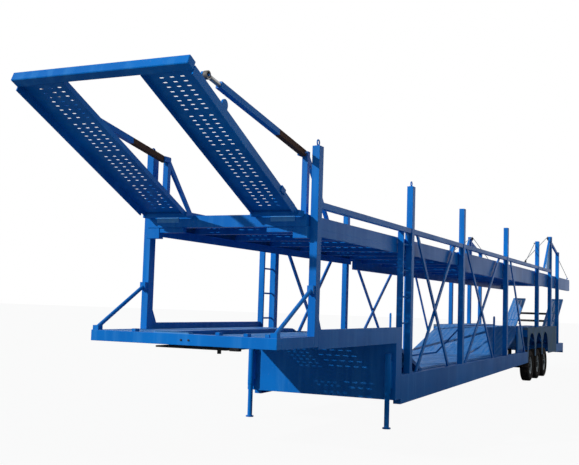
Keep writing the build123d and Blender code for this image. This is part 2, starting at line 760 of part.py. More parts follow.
save(head_ramp, "head_ramp")

# Telescopic props of the head ramp: a square tube on the mast and a round rod on the ramp
prop_foot = Vector(at(prop_foot_station), 0, prop_foot_height)
prop_run = eye_place - prop_foot
prop_direction = prop_run.normalized()
prop_tube_length = prop_run.length - prop_rod_shown
rod_inside = 700  # how much of the rod is in the tube when the ramp is up
eye_outer = 46
eye_bore = 32  # wide, so that the rod may swing a little beside its pin between the limits
tube_end = prop_foot + prop_direction * prop_tube_length
for side_name, side in (("left", 1), ("right", -1)):
    across = Vector(0, side * head_mast_middle, 0)
    with BuildPart() as prop_tube:
        with BuildSketch(Plane(origin=prop_foot + across - prop_direction * 35, x_dir=(0, 1, 0),
                               z_dir=prop_direction)) as tube_section:
            Rectangle(prop_size, prop_size)
        extrude(tube_section.sketch, amount=prop_tube_length + 35)
        round_bar(tuple(prop_foot + across + prop_direction * 100), tuple(tube_end + across),
                  prop_rod_radius + pin_fit, mode=Mode.SUBTRACT)
        cross_pin(prop_foot_station, prop_foot_height,
                  (side * (head_mast_middle - prop_size), side * (head_mast_middle + prop_size)),
                  prop_pin_radius + pin_fit, mode=Mode.SUBTRACT)
    save(prop_tube, f"prop_tube_{side_name}")
    with BuildPart() as prop_rod:
        round_bar(tuple(tube_end + across - prop_direction * rod_inside),
                  tuple(eye_place + across - prop_direction * (eye_bore + 5)), prop_rod_radius)
        eye_span = (side * (head_mast_middle - 22), side * (head_mast_middle + 22))
        cross_pin(eye_station, eye_place.Z, eye_span, eye_outer)
        cross_pin(eye_station, eye_place.Z, eye_span, eye_bore, mode=Mode.SUBTRACT)
    save(prop_rod, f"prop_rod_{side_name}")

# Tail ramp, raised behind the lower deck
tail_tilt = radians(tail_ramp_angle)
tail_plane = Plane(origin=(at(tail_hinge_station), 0, tail_hinge_height),
                   x_dir=(cos(tail_tilt), 0, sin(tail_tilt)), z_dir=(-sin(tail_tilt), 0, cos(tail_tilt)))
with BuildPart() as tail_ramp:
    for side in (1, -1):
        sloped_track(tail_plane, (track_start, tail_ramp_length), side, tail_track_inner, tail_track_width)
        span = (side * tail_hinges[0], side * tail_hinges[1])
        cross_pin(tail_hinge_station, tail_hinge_height, span, knuckle_radius)
        cross_pin(tail_hinge_station, tail_hinge_height, span, hinge_pin_radius + pin_fit, mode=Mode.SUBTRACT)
    for distance in (1500, 2000):
        sloped(tail_plane, (distance, distance + 80), (slack - tail_track_inner, tail_track_inner - slack),
               (-track_depth / 2, 10))
save(tail_ramp, "tail_ramp")

# Control box beside the rise of the lower tracks, on the right
box_lead = 780  # from its front to the low beams' end
box_length = 700
box_top = hump_top + 40
with BuildPart() as control_box:
    box_front = low_beam_end_station - box_lead
    beam((box_front, box_front + box_length), (-post_inner + 10, -ramp_half_width - 15),
         (low_deck_top + slack, box_top))
save(control_box, "control_box")
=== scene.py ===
from math import cos, pi, radians, sin

import bmesh
import bpy
from mathutils import Matrix, Vector


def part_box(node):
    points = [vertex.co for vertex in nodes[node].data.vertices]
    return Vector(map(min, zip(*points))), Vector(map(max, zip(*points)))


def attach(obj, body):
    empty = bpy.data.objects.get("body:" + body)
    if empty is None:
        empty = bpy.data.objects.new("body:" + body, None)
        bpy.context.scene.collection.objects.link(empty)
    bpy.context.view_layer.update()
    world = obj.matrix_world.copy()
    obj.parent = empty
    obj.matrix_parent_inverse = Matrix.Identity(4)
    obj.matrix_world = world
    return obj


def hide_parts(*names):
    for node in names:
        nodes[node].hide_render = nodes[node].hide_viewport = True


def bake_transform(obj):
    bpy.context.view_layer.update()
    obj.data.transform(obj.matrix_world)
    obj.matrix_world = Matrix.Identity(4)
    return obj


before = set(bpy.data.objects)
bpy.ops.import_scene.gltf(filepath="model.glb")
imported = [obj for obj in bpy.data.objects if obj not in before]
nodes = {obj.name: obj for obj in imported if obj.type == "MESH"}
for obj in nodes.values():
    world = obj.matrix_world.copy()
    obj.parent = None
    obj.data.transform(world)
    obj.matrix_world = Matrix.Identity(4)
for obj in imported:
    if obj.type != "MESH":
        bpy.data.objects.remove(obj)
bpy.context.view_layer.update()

# Places along the trailer are stations, counted back from the front posts
NOSE_STATION = -1.100
NOSE_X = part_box("gooseneck_frame")[0].x


def at(station):
    return NOSE_X + station - NOSE_STATION


SIDES = (1, -1)
NAMED_SIDES = (("left", 1), ("right", -1))
HALF_WIDTH = 1.250

# Posts, the rail along them and the rear masts
POST_STATIONS = (0.0, 3.8, 7.1, 11.2, 15.35)
POST_LENGTH = 0.130
POST_WIDTH = 0.100
POST_TOP = 3.750
POST_MIDDLE = HALF_WIDTH - POST_WIDTH / 2
POST_INNER = HALF_WIDTH - POST_WIDTH
RAIL_BOTTOM = 2.990
RAIL_SIZE = 0.080
RAIL_TOP = RAIL_BOTTOM + RAIL_SIZE
MAST_STATION = 17.5

# Decks: heights of their tops, and the stations where they turn or end
GOOSENECK_TOP = 1.430
LOW_DECK_TOP = 0.780
HUMP_TOP = 1.400
TAIL_DECK_TOP = 0.860
UPPER_DECK_TOP = 2.900
BED_START = 5.000
BED_END = 11.300
HUMP_START = 13.700
HUMP_END = 17.800
FRAME_END = 19.800
DECK_SPLIT = 7.300
DECK_END = 22.000
DECK_HALF = 1.138
DECK_INSIDE = 1.0477

# Wheel tracks: slotted pans with flanges and ribs
TRACK_INNER = 0.475
TRACK_WIDTH = 0.610
TRACK_DEPTH = 0.060
PLATE = 0.008
RIB = 0.006
RIB_GAP = 0.004
SLOT_LENGTH = 0.022
SLOT_WIDTH = 0.070
SLOT_PITCH = 0.080
SLOT_CORNER = 0.012

# Slotted plates between the wheel tracks, and how far they lie below the deck's top
FLOOR_PLATE = 0.005
FLOOR_GAP = 0.004
FLOOR_SLOT = 0.090
FLOOR_GROUP = 1.200
FLOOR_DROP = 0.055
LOWER_FLOOR_DROP = 0.030

# Axles and tyres
AXLE_STATIONS = (14.4, 15.46, 16.52)
TYRE_RADIUS = 0.400
TYRE_WIDTH = 0.240
TYRE_INSET = 0.015
WHEEL_MIDDLE = HALF_WIDTH - TYRE_INSET - TYRE_WIDTH / 2

# Both ramps, from their hinges, and the masts that carry the head ramp's props
RAMP_HINGE = Vector((at(-0.280), 0, 2.900))
RAMP_LENGTH = 2.735
RAMP_TILT = radians(24.5)
TIP_BEAM = 0.120
TIP_RISE = 0.075
EYE_PLACE = (2.420, 0.171)
EYE_LUG = (0.955, 0.980)
HEAD_MAST_SIZE = 0.074
HEAD_MAST_INSET = 0.086
HEAD_MAST_MIDDLE = DECK_HALF - HEAD_MAST_INSET - HEAD_MAST_SIZE / 2
TAIL_HINGE = Vector((at(19.905), 0, 0.780))
TAIL_RAMP_LENGTH = 3.050
TAIL_TILT = radians(29)
TAIL_TRACK_INNER = 0.430
TAIL_TRACK_WIDTH = 0.420
RAMP_START = 0.020
BARREL = 0.035


# Shader sockets that can be added and multiplied like numbers

class Wire:
    """A socket of a material's nodes; sums and products on it add Math nodes."""

    def __init__(self, finish, socket):
        self.finish = finish
        self.socket = socket

    def math(self, operation, *values):
        return self.finish.node("ShaderNodeMath", {"operation": operation}, values)

    def __add__(self, other):
        return self.math("ADD", self, other)

    def __radd__(self, other):
        return self.math("ADD", other, self)

    def __sub__(self, other):
        return self.math("SUBTRACT", self, other)

    def __rsub__(self, other):
        return self.math("SUBTRACT", other, self)

    def __mul__(self, other):
        return self.math("MULTIPLY", self, other)

    def __rmul__(self, other):
        return self.math("MULTIPLY", other, self)

    def above(self, level, softness):
        """0 below the level, 1 above it, with a soft step between."""
        settings = {"interpolation_type": "SMOOTHSTEP"}
        values = {"Value": self, "From Min": level - softness, "From Max": level + softness}
        return self.finish.node("ShaderNodeMapRange", settings, values)


# Low shine, so that the white surroundings don't grey the colours; the lens has the usual one
SHINE = 0.06
LENS_SHINE = 0.5


class Finish:
    """A material, and the nodes that make it."""

    def __init__(self, name):
        self.material = bpy.data.materials.new(name)
        self.material.use_nodes = True
        self.tree = self.material.node_tree
        self.shader = self.tree.nodes["Principled BSDF"]
        self.place = self.node("ShaderNodeTexCoord", {}, {}, "Object")
        self.shader.inputs["Specular IOR Level"].default_value = SHINE

    def plug(self, socket, value):
        if isinstance(value, Wire):
            self.tree.links.new(value.socket, socket)
        elif hasattr(value, "__len__") and socket.type == "RGBA" and len(value) == 3:
            socket.default_value = (*value, 1)
        else:
            socket.default_value = value

    def node(self, kind, settings, values, output=0):
        """Adds a node: its settings first, then the values or links of its sockets."""
        made = self.tree.nodes.new(kind)
        for name, value in settings.items():
            setattr(made, name, value)
        pairs = values.items() if isinstance(values, dict) else enumerate(values)
        for name, value in pairs:
            self.plug(made.inputs[name], value)
        return Wire(self, made.outputs[output])

    def mix(self, amount, first, second):
        """Colour between two colours."""
        values = {0: amount, 6: first, 7: second}
        return self.node("ShaderNodeMix", {"data_type": "RGBA"}, values, 2)

    def stretched(self, scale):
        """The place on the piece, stretched by a scale along each axis."""
        return self.node("ShaderNodeMapping", {}, {"Vector": self.place, "Scale": scale})

    def noise(self, scale, detail, vector=None):
        values = {"Vector": vector or self.place, "Scale": scale, "Detail": detail}
        return self.node("ShaderNodeTexNoise", {}, values)

    def facing_up(self):
        """1 on faces that look up, 0 on the rest."""
        normal = self.node("ShaderNodeNewGeometry", {}, {}, "Normal")
        return self.node("ShaderNodeSeparateXYZ", {}, (normal,), "Z").above(0.8, 0.15)

    def bump(self, height, distance, strength=0.4):
        values = {"Height": height, "Distance": distance, "Strength": strength}
        self.set("Normal", self.node("ShaderNodeBump", {}, values))

    def set(self, socket, value):
        self.plug(self.shader.inputs[socket], value)


# Colours of paint, steel, rubber and dirt
BLUE = (0.002, 0.185, 0.640)
DEEP_BLUE = (0.002, 0.100, 0.400)
FADED_BLUE = (0.050, 0.270, 0.680)
PALE_BLUE = (0.100, 0.330, 0.660)
BLEACHED_BLUE = (0.220, 0.440, 0.700)
TREAD_BLUE = (0.010, 0.165, 0.540)
TOP_FACE_BLUE = (0.070, 0.310, 0.680)
GUARD_BLUE = (0.035, 0.120, 0.300)
SPRAY_GREY = (0.190, 0.230, 0.250)
ROAD_DUST = (0.330, 0.360, 0.400)
CHASSIS_BLACK = (0.022, 0.026, 0.036)
ROAD_DIRT = (0.095, 0.088, 0.080)
RUST_BROWN = (0.120, 0.055, 0.035)
RUST_BLISTER = (0.055, 0.030, 0.030)
PLATE_STEEL = (0.420, 0.420, 0.430)
GREASE = (0.070, 0.060, 0.050)
TYRE_BLACK = (0.018, 0.015, 0.016)
TYRE_DUST = (0.062, 0.042, 0.034)
RIM_SILVER = (0.340, 0.350, 0.370)
BRAKE_DUST = (0.110, 0.090, 0.080)
LENS_RED = (0.500, 0.012, 0.012)
LENS_RIB_RED = (0.220, 0.004, 0.004)
DULL_ZINC = (0.130, 0.150, 0.180)
BRIGHT_ZINC = (0.320, 0.340, 0.370)
RUBBER_BLACK = (0.012, 0.012, 0.014)
SCUFFED_RUBBER = (0.050, 0.050, 0.055)


def paint(name, colour, deep, faded, dust=0.22, gloss=0.34):
    """Sprayed paint: cloudy tone, large darker patches of painted patchy reflection, rain streaks, dust on
    what faces up, orange peel.
    """
    finish = Finish(name)
    cloud = finish.noise(0.9, 4.0).above(0.5, 0.22)
    streak = finish.noise(1.0, 5.0, finish.stretched((9, 9, 0.7))).above(0.58, 0.14)
    fleck = finish.noise(38.0, 2.0).above(0.71, 0.03)
    tone = finish.mix(cloud * 0.55, colour, deep)
    # Large darker patches: painted reflection, standing for the patchy sheen on the sides
    painted_sheen_patch = finish.noise(0.55, 2.0).above(0.53, 0.05)
    tone = finish.mix(painted_sheen_patch * 0.35, tone, deep)
    tone = finish.mix(streak * 0.30, tone, faded)
    settled = finish.facing_up() * finish.noise(2.6, 5.0).above(0.47, 0.25)
    tone = finish.mix(settled * dust + fleck * 0.12, tone, ROAD_DUST)
    finish.set("Base Color", tone)
    finish.set("Roughness", gloss + cloud * 0.08 + settled * 0.3)
    finish.shader.inputs["Coat Weight"].default_value = 0.04
    finish.shader.inputs["Coat Roughness"].default_value = 0.18
    finish.bump(finish.noise(160.0, 2.0), 0.0006, 0.25)
    return finish.material


def worn_tread(name, colour, deep, faded):
    """Deck paint, paler on faces that look up, with long scuffs and dust."""
    finish = Finish(name)
    cloud = finish.noise(1.2, 4.0).above(0.5, 0.2)
    scuff = finish.noise(2.0, 5.0, finish.stretched((0.6, 14, 6))).above(0.56, 0.1)
    up = finish.facing_up()
    settled = up * finish.noise(3.4, 5.0).above(0.45, 0.25)
    tone = finish.mix(cloud * 0.4, colour, deep)
    # Every face that looks up is made paler
    tone = finish.mix(up * 0.35, tone, faded)
    tone = finish.mix(scuff * up * 0.16 + settled * 0.12, tone, ROAD_DUST)
    finish.set("Base Color", tone)
    finish.set("Roughness", 0.38 + settled * 0.25 - scuff * 0.08)
    finish.bump(finish.noise(90.0, 3.0) + scuff * 0.5, 0.001, 0.3)
    return finish.material


def rusted_sleeve(name):
    """Prop tube: frame paint, with bare brown rust on the sleeve near its foot."""
    finish = Finish(name)
    along = finish.node("ShaderNodeSeparateXYZ", {}, (finish.place,), "X")
    sleeve = along.above(at(-0.78), 0.01)
    blister = finish.noise(30.0, 5.0).above(0.5, 0.15)
    rust = finish.mix(blister * 0.6, RUST_BROWN, RUST_BLISTER)
    cloud = finish.noise(3.0, 4.0).above(0.5, 0.2)
    finish.set("Base Color", finish.mix(sleeve, finish.mix(cloud * 0.5, BLUE, DEEP_BLUE), rust))
    finish.set("Roughness", 0.38 + sleeve * 0.4)
    finish.bump(blister * sleeve, 0.002, 0.5)
    return finish.material


def chassis_black(name):
    """Dark chassis paint under road dirt."""
    finish = Finish(name)
    dirt = finish.noise(5.0, 5.0).above(0.48, 0.18)
    grime = finish.noise(24.0, 3.0)
    finish.set("Base Color", finish.mix(dirt * 0.5, CHASSIS_BLACK, ROAD_DIRT))
    finish.set("Roughness", 0.55 + dirt * 0.25)
    finish.bump(grime + dirt * 0.6, 0.0015, 0.4)
    return finish.material


def guard_paint(name):
    """Blue mudguard paint, greyed by spray from the wheels."""
    finish = Finish(name)
    spray = finish.noise(3.0, 5.0).above(0.45, 0.25)
    finish.set("Base Color", finish.mix(spray * 0.7, GUARD_BLUE, SPRAY_GREY))
    finish.set("Roughness", 0.45 + spray * 0.3)
    finish.bump(finish.noise(60.0, 3.0), 0.0008, 0.3)
    return finish.material


def greased_steel(name):
    """Bare steel with turned marks and smears of grease."""
    finish = Finish(name)
    finish.shader.inputs["Metallic"].default_value = 0.9
    grease = finish.noise(4.0, 4.0).above(0.52, 0.12)
    turned = finish.noise(6.0, 3.0, finish.stretched((30, 1, 1)))
    finish.set("Base Color", finish.mix(grease * 0.8, PLATE_STEEL, GREASE))
    finish.set("Roughness", 0.32 + grease * 0.3 + turned * 0.1)
    finish.bump(turned, 0.0006, 0.3)
    return finish.material


def zinc_coat(name):
    """Zinc-coated steel of the cables."""
    finish = Finish(name)
    spangle = finish.noise(60.0, 2.0)
    finish.set("Base Color", finish.mix(spangle, DULL_ZINC, BRIGHT_ZINC))
    finish.set("Roughness", 0.35 + spangle * 0.2)
    finish.shader.inputs["Metallic"].default_value = 0.75
    finish.bump(spangle, 0.0005, 0.3)
    return finish.material


def rim_silver(name):
    """Silver wheel paint, dulled by brake dust."""
    finish = Finish(name)
    dust = finish.noise(9.0, 5.0).above(0.5, 0.18)
    finish.set("Base Color", finish.mix(dust * 0.6, RIM_SILVER, BRAKE_DUST))
    finish.set("Metallic", 0.35 - dust * 0.3)
    finish.set("Roughness", 0.38 + dust * 0.35)
    finish.bump(finish.noise(70.0, 3.0), 0.0008, 0.25)
    return finish.material


def tyre_black(name):
    """Tyre rubber clouded with brown road dust."""
    finish = Finish(name)
    dust = finish.noise(7.0, 5.0).above(0.47, 0.2)
    finish.set("Base Color", finish.mix(dust * 0.6, TYRE_BLACK, TYRE_DUST))
    finish.set("Roughness", 0.72 + dust * 0.2)
    finish.bump(finish.noise(220.0, 2.0), 0.0008, 0.35)
    return finish.material


def lamp_glass(name):
    """Red lens with fine upright ribs."""
    finish = Finish(name)
    ribbing = {"Vector": finish.place, "Scale": 28.0}
    rib = finish.node("ShaderNodeTexWave", {"bands_direction": "Y"}, ribbing)
    finish.set("Base Color", finish.mix(rib * 0.4, LENS_RED, LENS_RIB_RED))
    finish.shader.inputs["Roughness"].default_value = 0.16
    finish.shader.inputs["Specular IOR Level"].default_value = LENS_SHINE
    finish.set("Coat Weight", 0.6 + rib * 0.2)
    finish.bump(rib, 0.002, 0.4)
    return finish.material


def black_rubber(name):
    """Moulded rubber of pads and buffers, plastic of knobs, and the painted shade in the rims' hand-hole
    openings.
    """
    finish = Finish(name)
    scuff = finish.noise(18.0, 4.0).above(0.55, 0.15)
    finish.set("Base Color", finish.mix(scuff * 0.5, RUBBER_BLACK, SCUFFED_RUBBER))
    finish.set("Roughness", 0.6 + scuff * 0.2)
    finish.bump(finish.noise(120.0, 2.0), 0.0006, 0.3)
    return finish.material


finishes = {
    "frame_blue": paint("frame_blue_paint", BLUE, DEEP_BLUE, FADED_BLUE),
    "pale_blue": paint("pale_blue_paint", PALE_BLUE, FADED_BLUE, BLEACHED_BLUE),
    "sleeve": rusted_sleeve("rusted_sleeve_paint"),
    "tread_blue": worn_tread("tread_blue_paint", TREAD_BLUE, DEEP_BLUE, TOP_FACE_BLUE),
    "chassis_dark": chassis_black("chassis_black_paint"),
    "bare_steel": greased_steel("greased_steel"),
    "rim_paint": rim_silver("rim_silver_paint"),
    "tyre_rubber": tyre_black("tyre_black_rubber"),
    "lamp_red": lamp_glass("lamp_red_lens"),
    "zinc": zinc_coat("zinc_coated_steel"),
    "guard_paint": guard_paint("mudguard_paint"),
    "rubber": black_rubber("black_rubber"),
}

# Nodes whose finish isn't the frame's blue
NODE_FINISHES = {
    "tread_blue": ("gooseneck_tracks", "lower_tracks", "upper_tracks", "rear_deck_tracks", "tail_ramp"),
    "chassis_dark": ("axles", "leaf_springs", "spring_hangers", "kingpin_plate"),
    "bare_steel": ("prop_rod_left", "prop_rod_right"),
    "sleeve": ("prop_tube_left", "prop_tube_right"),
    "lamp_red": ("tail_lamps",),
    "guard_paint": ("mudguards",),
}


def finish_of(node):
    for slot, names in NODE_FINISHES.items():
        if node in names:
            return slot
    if node.startswith("tyre"):
        return "tyre_rubber"
    if node.startswith("rim"):
        return "rim_paint"
    return "frame_blue"


for name, node in nodes.items():
    node.data.materials.clear()
    node.data.materials.append(finishes[finish_of(name)])
    weld = node.modifiers.new("weld", "WELD")
    weld.merge_threshold = 0.0001
    if not name.startswith(("tyre", "rim")):
        edge = node.modifiers.new("edge", "BEVEL")
        edge.width = 0.004
        edge.segments = 2
        edge.limit_method = "ANGLE"
        edge.angle_limit = radians(40)


# Shapes

def ring(radius, sides, z=0.0):
    """Points of a circle round the z axis."""
    return [(radius * cos(2 * pi * n / sides), radius * sin(2 * pi * n / sides), z) for n in range(sides)]


def barrel_faces(count, rings=2):
    """Faces between rings of points that follow one another, and the faces that close both ends."""
    last = (rings - 1) * count
    faces = [list(range(count))[::-1], [last + n for n in range(count)]]
    for first in range(0, last, count):
        for n in range(count):
            following = (n + 1) % count
            faces.append([first + n, first + following, first + count + following, first + count + n])
    return faces


class Shape:
    """Points and faces of one piece, gathered from simple forms."""

    def __init__(self):
        self.points = []
        self.faces = []

    def add(self, points, faces, place=None):
        first = len(self.points)
        for point in points:
            vector = Vector(point)
            self.points.append(tuple(place @ vector if place else vector))
        for face in faces:
            self.faces.append([first + index for index in face])
        return self

    def slab(self, x_range, y_range, z_range, place=None):
        """Block along the axes of a place."""
        xs, ys, zs = (sorted(pair) for pair in (x_range, y_range, z_range))
        points = [(x, y, z) for x in xs for y in ys for z in zs]
        faces = ((0, 1, 3, 2), (4, 6, 7, 5), (0, 4, 5, 1), (2, 3, 7, 6), (0, 2, 6, 4), (1, 5, 7, 3))
        return self.add(points, faces, place)

    def block(self, stations, y_range, z_range, side=1):
        """Block between two stations, mirrored where side is -1."""
        return self.slab([at(station) for station in stations], [side * y for y in y_range], z_range)

    def prism(self, outline, low, high, place=None):
        """Outline of (x, z) pairs, thickened along y."""
        outline = list(outline)
        area = sum(p[0] * q[1] - q[0] * p[1] for p, q in zip(outline, outline[1:] + outline[:1]))
        turned = outline if area > 0 else outline[::-1]
        points = [(x, y, z) for y in (low, high) for x, z in turned]
        return self.add(points, barrel_faces(len(turned)), place)

    def rod(self, start, end, radius, sides, end_radius=None, place=None):
        """Round bar, or a cone, from one point to another."""
        start, end = Vector(start), Vector(end)
        way = end - start
        mat = Matrix.Translation(start) @ way.to_track_quat("Z", "Y").to_matrix().to_4x4()
        if place:
            mat = place @ mat
        top = radius if end_radius is None else end_radius
        points = ring(radius, sides) + ring(top, sides, way.length)
        return self.add(points, barrel_faces(sides), mat)

    def rope(self, start, end, radius, steps=1, sides=10):
        """Straight rope, with rings of points along it so that it can bend."""
        start, end = Vector(start), Vector(end)
        turn = (end - start).to_track_quat("Z", "Y").to_matrix()
        points = []
        for step in range(steps + 1):
            centre = start.lerp(end, step / steps)
            points += [centre + turn @ Vector(point) for point in ring(radius, sides)]
        return self.add(points, barrel_faces(sides, steps + 1))

    def turned(self, profile, centre, axis, sides, cuts=None):
        """Closed profile of (along, radius) pairs turned round an axis; cuts(step, radius) is cut off."""
        mat = Matrix.Translation(centre) @ Vector(axis).to_track_quat("Z", "Y").to_matrix().to_4x4()
        count = len(profile)
        points, faces = [], []
        for n in range(sides):
            angle = 2 * pi * n / sides
            m = (n + 1) % sides
            for k, (along, radius) in enumerate(profile):
                r = radius - (cuts(n, radius) if cuts else 0)
                points.append((r * cos(angle), r * sin(angle), along))
                j = (k + 1) % count
                faces.append([n * count + k, m * count + k, m * count + j, n * count + j])
        return self.add(points, faces, mat)

    def sheet(self, rows, columns, thickness, place):
        """Flat plate with slots. Each row is (start, end, slot start, slot end) along x, or (start, end)
        where it has none; columns are the same along y. Its top is at z = 0."""
        for row in rows:
            for column in columns:
                if len(row) == len(column) == 4:
                    self.slotted_part(row, column, thickness, place)
                else:
                    self.plain_part(row, column, thickness, place)
        self.sheet_edges(rows, columns, thickness, place)

    def plain_part(self, row, column, thickness, place):
        """Top and underside of a part of a sheet that has no slot."""
        (u0, u1), (v0, v1) = row[:2], column[:2]
        for z, order in ((0, (0, 1, 2, 3)), (-thickness, (3, 2, 1, 0))):
            self.add([(u0, v0, z), (u1, v0, z), (u1, v1, z), (u0, v1, z)], [order], place)

    def slotted_part(self, row, column, thickness, place):
        """Top and underside round a slot with cut corners, and the slot's walls."""
        (u0, u1, s0, s1), (v0, v1, t0, t1) = row, column
        c = min(SLOT_CORNER, (s1 - s0) / 2.5, (t1 - t0) / 2.5)
        slot = ((s0 + c, t0), (s1 - c, t0), (s1, t0 + c), (s1, t1 - c),
                (s1 - c, t1), (s0 + c, t1), (s0, t1 - c), (s0, t0 + c))
        outer = ((u0, v0), (u1, v0), (u1, v1), (u0, v1))
        points = [(x, y, z) for z in (0, -thickness) for x, y in outer + slot]
        top = [(0, 1, 5, 4), (1, 6, 5), (1, 2, 7, 6), (2, 8, 7), (2, 3, 9, 8), (3, 10, 9), (3, 0, 11, 10),
               (0, 4, 11)]
        faces = top + [tuple(12 + index for index in face[::-1]) for face in top]
        for n in range(8):
            following = (n + 1) % 8
            faces.append((4 + n, 4 + following, 16 + following, 16 + n))
        self.add(points, faces, place)

    def sheet_edges(self, rows, columns, thickness, place):
        """Upright faces all round a sheet."""
        us = [row[0] for row in rows] + [rows[-1][1]]
        vs = [column[0] for column in columns] + [columns[-1][1]]
        for v, way in ((vs[0], 1), (vs[-1], -1)):
            for a, b in zip(us, us[1:]):
                corners = [(a, v, -thickness), (b, v, -thickness), (b, v, 0), (a, v, 0)]
                self.add(corners, [(0, 1, 2, 3)[::way]], place)
        for u, way in ((us[0], -1), (us[-1], 1)):
            for a, b in zip(vs, vs[1:]):
                corners = [(u, a, -thickness), (u, b, -thickness), (u, b, 0), (u, a, 0)]
                self.add(corners, [(0, 1, 2, 3)[::way]], place)


def piece(name, shape, body, slot, finish=None, bevel=0.003, smooth=False, stands_for=()):
    """Makes a Blender object of a shape, with its finish, on the body that carries it. A piece without a body
    is left unattached here."""
    mesh = bpy.data.meshes.new(name)
    mesh.from_pydata(shape.points, [], shape.faces)
    made = bpy.data.objects.new(name, mesh)
    bpy.context.scene.collection.objects.link(made)
    work = bmesh.new()
    work.from_mesh(mesh)
    bmesh.ops.remove_doubles(work, verts=work.verts, dist=0.00005)
    bmesh.ops.recalc_face_normals(work, faces=work.faces)
    for face in work.faces:
        face.smooth = smooth
    work.to_mesh(mesh)
    work.free()
    mesh.materials.append(finishes[finish or slot])
    if bevel:
        edge = made.modifiers.new("edge", "BEVEL")
        edge.width = bevel
        edge.segments = 1
        edge.limit_method = "ANGLE"
        edge.angle_limit = radians(50)
    if smooth:
        made.modifiers.new("split", "EDGE_SPLIT").split_angle = radians(35)
    if body:
        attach(made, body)
    if stands_for:
        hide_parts(*stands_for)
    return made


# Slotted pans and the places that they lie in

def slot_rows(length, groups, margin=0.06, gap=0.05, pitch=SLOT_PITCH):
    """Rows of slots in groups, with a plain strip between groups and at both ends."""
    run = length - 2 * margin - gap * (groups - 1)
    each = max(1, round(run / groups / pitch))
    step = run / groups / each
    rows = [(0, margin)]
    place = margin
    for group in range(groups):
        for _ in range(each):
            middle = place + step / 2
            rows.append((place, place + step, middle - SLOT_LENGTH / 2, middle + SLOT_LENGTH / 2))
            place += step
        if group < groups - 1:
            rows.append((place, place + gap))
            place += gap
    rows.append((place, length))
    return rows


def slot_columns(inner, outer, count, edges, side=1, width=SLOT_WIDTH):
    """Columns of slots between a plain inner and outer edge, mirrored where side is -1."""
    step = (outer - inner - sum(edges)) / count
    columns = [(inner, inner + edges[0])]
    for n in range(count):
        start = inner + edges[0] + n * step
        columns.append((start, start + step, start + (step - width) / 2, start + (step + width) / 2))
    columns.append((outer - edges[1], outer))
    if side < 0:
        columns = [tuple(-value for pair in (column[:2], column[2:]) for value in reversed(pair))
                   for column in reversed(columns)]
    return columns


def pan(shape, place, length, inner, width, side, rows,
        columns=4, edges=(0.09, 0.09), slot=SLOT_WIDTH, ribs=1.2):
    """Slotted pan of a wheel track: tread, a flange down each edge, ribs under the tread."""
    outer = inner + width
    shape.sheet(rows, slot_columns(inner, outer, columns, edges, side, slot), PLATE, place)
    for y in (inner, outer - PLATE):
        shape.slab((0, length), (side * y, side * (y + PLATE)), (-TRACK_DEPTH, -PLATE), place)
    count = max(1, int(length / ribs))
    for n in range(count + 1):
        x = n * (length - RIB) / count
        shape.slab((x, x + RIB), (side * (inner + PLATE), side * (outer - PLATE)),
                   (-TRACK_DEPTH + RIB_GAP, -PLATE), place)


def incline(origin, direction):
    """Place whose x runs along a direction in the XZ plane and whose z is square to it, upwards."""
    x_dir = Vector(direction).normalized()
    y_dir = Vector((0, 1, 0))
    z_dir = x_dir.cross(y_dir)
    if z_dir.z < 0:
        y_dir = -y_dir
        z_dir = -z_dir
    turn = Matrix((x_dir, y_dir, z_dir)).transposed().to_4x4()
    return Matrix.Translation(origin) @ turn


def run_place(run, drop=0.0):
    """Place and length of a run between two (station, height) pairs."""
    (start, start_height), (end, end_height) = run
    origin = Vector((at(start), 0, start_height - drop))
    away = Vector((at(end), 0, end_height - drop)) - origin
    return incline(origin, away), away.length


# Decks: the runs that they follow, their wheel tracks, and the slotted plates between

GOOSENECK_RUNS = (((-0.980, GOOSENECK_TOP), (3.050, GOOSENECK_TOP)),)
LOWER_LINE = ((3.080, 1.423), (BED_START, LOW_DECK_TOP), (BED_END, LOW_DECK_TOP), (HUMP_START, HUMP_TOP),
              (HUMP_END, HUMP_TOP), (FRAME_END, TAIL_DECK_TOP))
LOWER_RUNS = tuple(zip(LOWER_LINE, LOWER_LINE[1:]))
UPPER_RUNS = (((-0.040, UPPER_DECK_TOP), (7.260, UPPER_DECK_TOP)),)
REAR_RUNS = (((DECK_SPLIT, UPPER_DECK_TOP), (DECK_END, UPPER_DECK_TOP)),)


def wheel_tracks(name, body, node, runs, width=TRACK_WIDTH):
    """Slotted pans of both sides along the runs of a deck, in place of a CAD node."""
    made = Shape()
    for run in runs:
        place, length = run_place(run)
        rows = slot_rows(length, max(1, round(length)))
        for side in SIDES:
            pan(made, place, length, TRACK_INNER, width, side, rows)
    piece(name, made, body, "tread_blue", bevel=0, stands_for=(node,))


def middle_floor(name, body, runs, drop):
    """Thin slotted plates between the wheel tracks, lying on the cross beams."""
    made = Shape()
    half = TRACK_INNER - FLOOR_GAP
    columns = slot_columns(-half, half, count=6, edges=(0.06, 0.06), width=FLOOR_SLOT)
    for run in runs:
        place, length = run_place(run, drop)
        rows = slot_rows(length, max(1, round(length / FLOOR_GROUP)), margin=0.08, gap=0.08, pitch=0.12)
        made.sheet(rows, columns, FLOOR_PLATE, place)
    piece(name, made, body, "tread_blue", bevel=0)


# Head ramp and tail ramp

FLANGE_START = 0.120
FLANGE_END = RAMP_LENGTH - 0.002
FLANGE_DROP = 0.070
FLANGE_RISE = 0.003
FLANGE_IN = 0.012
FLANGE_OUT = 0.002


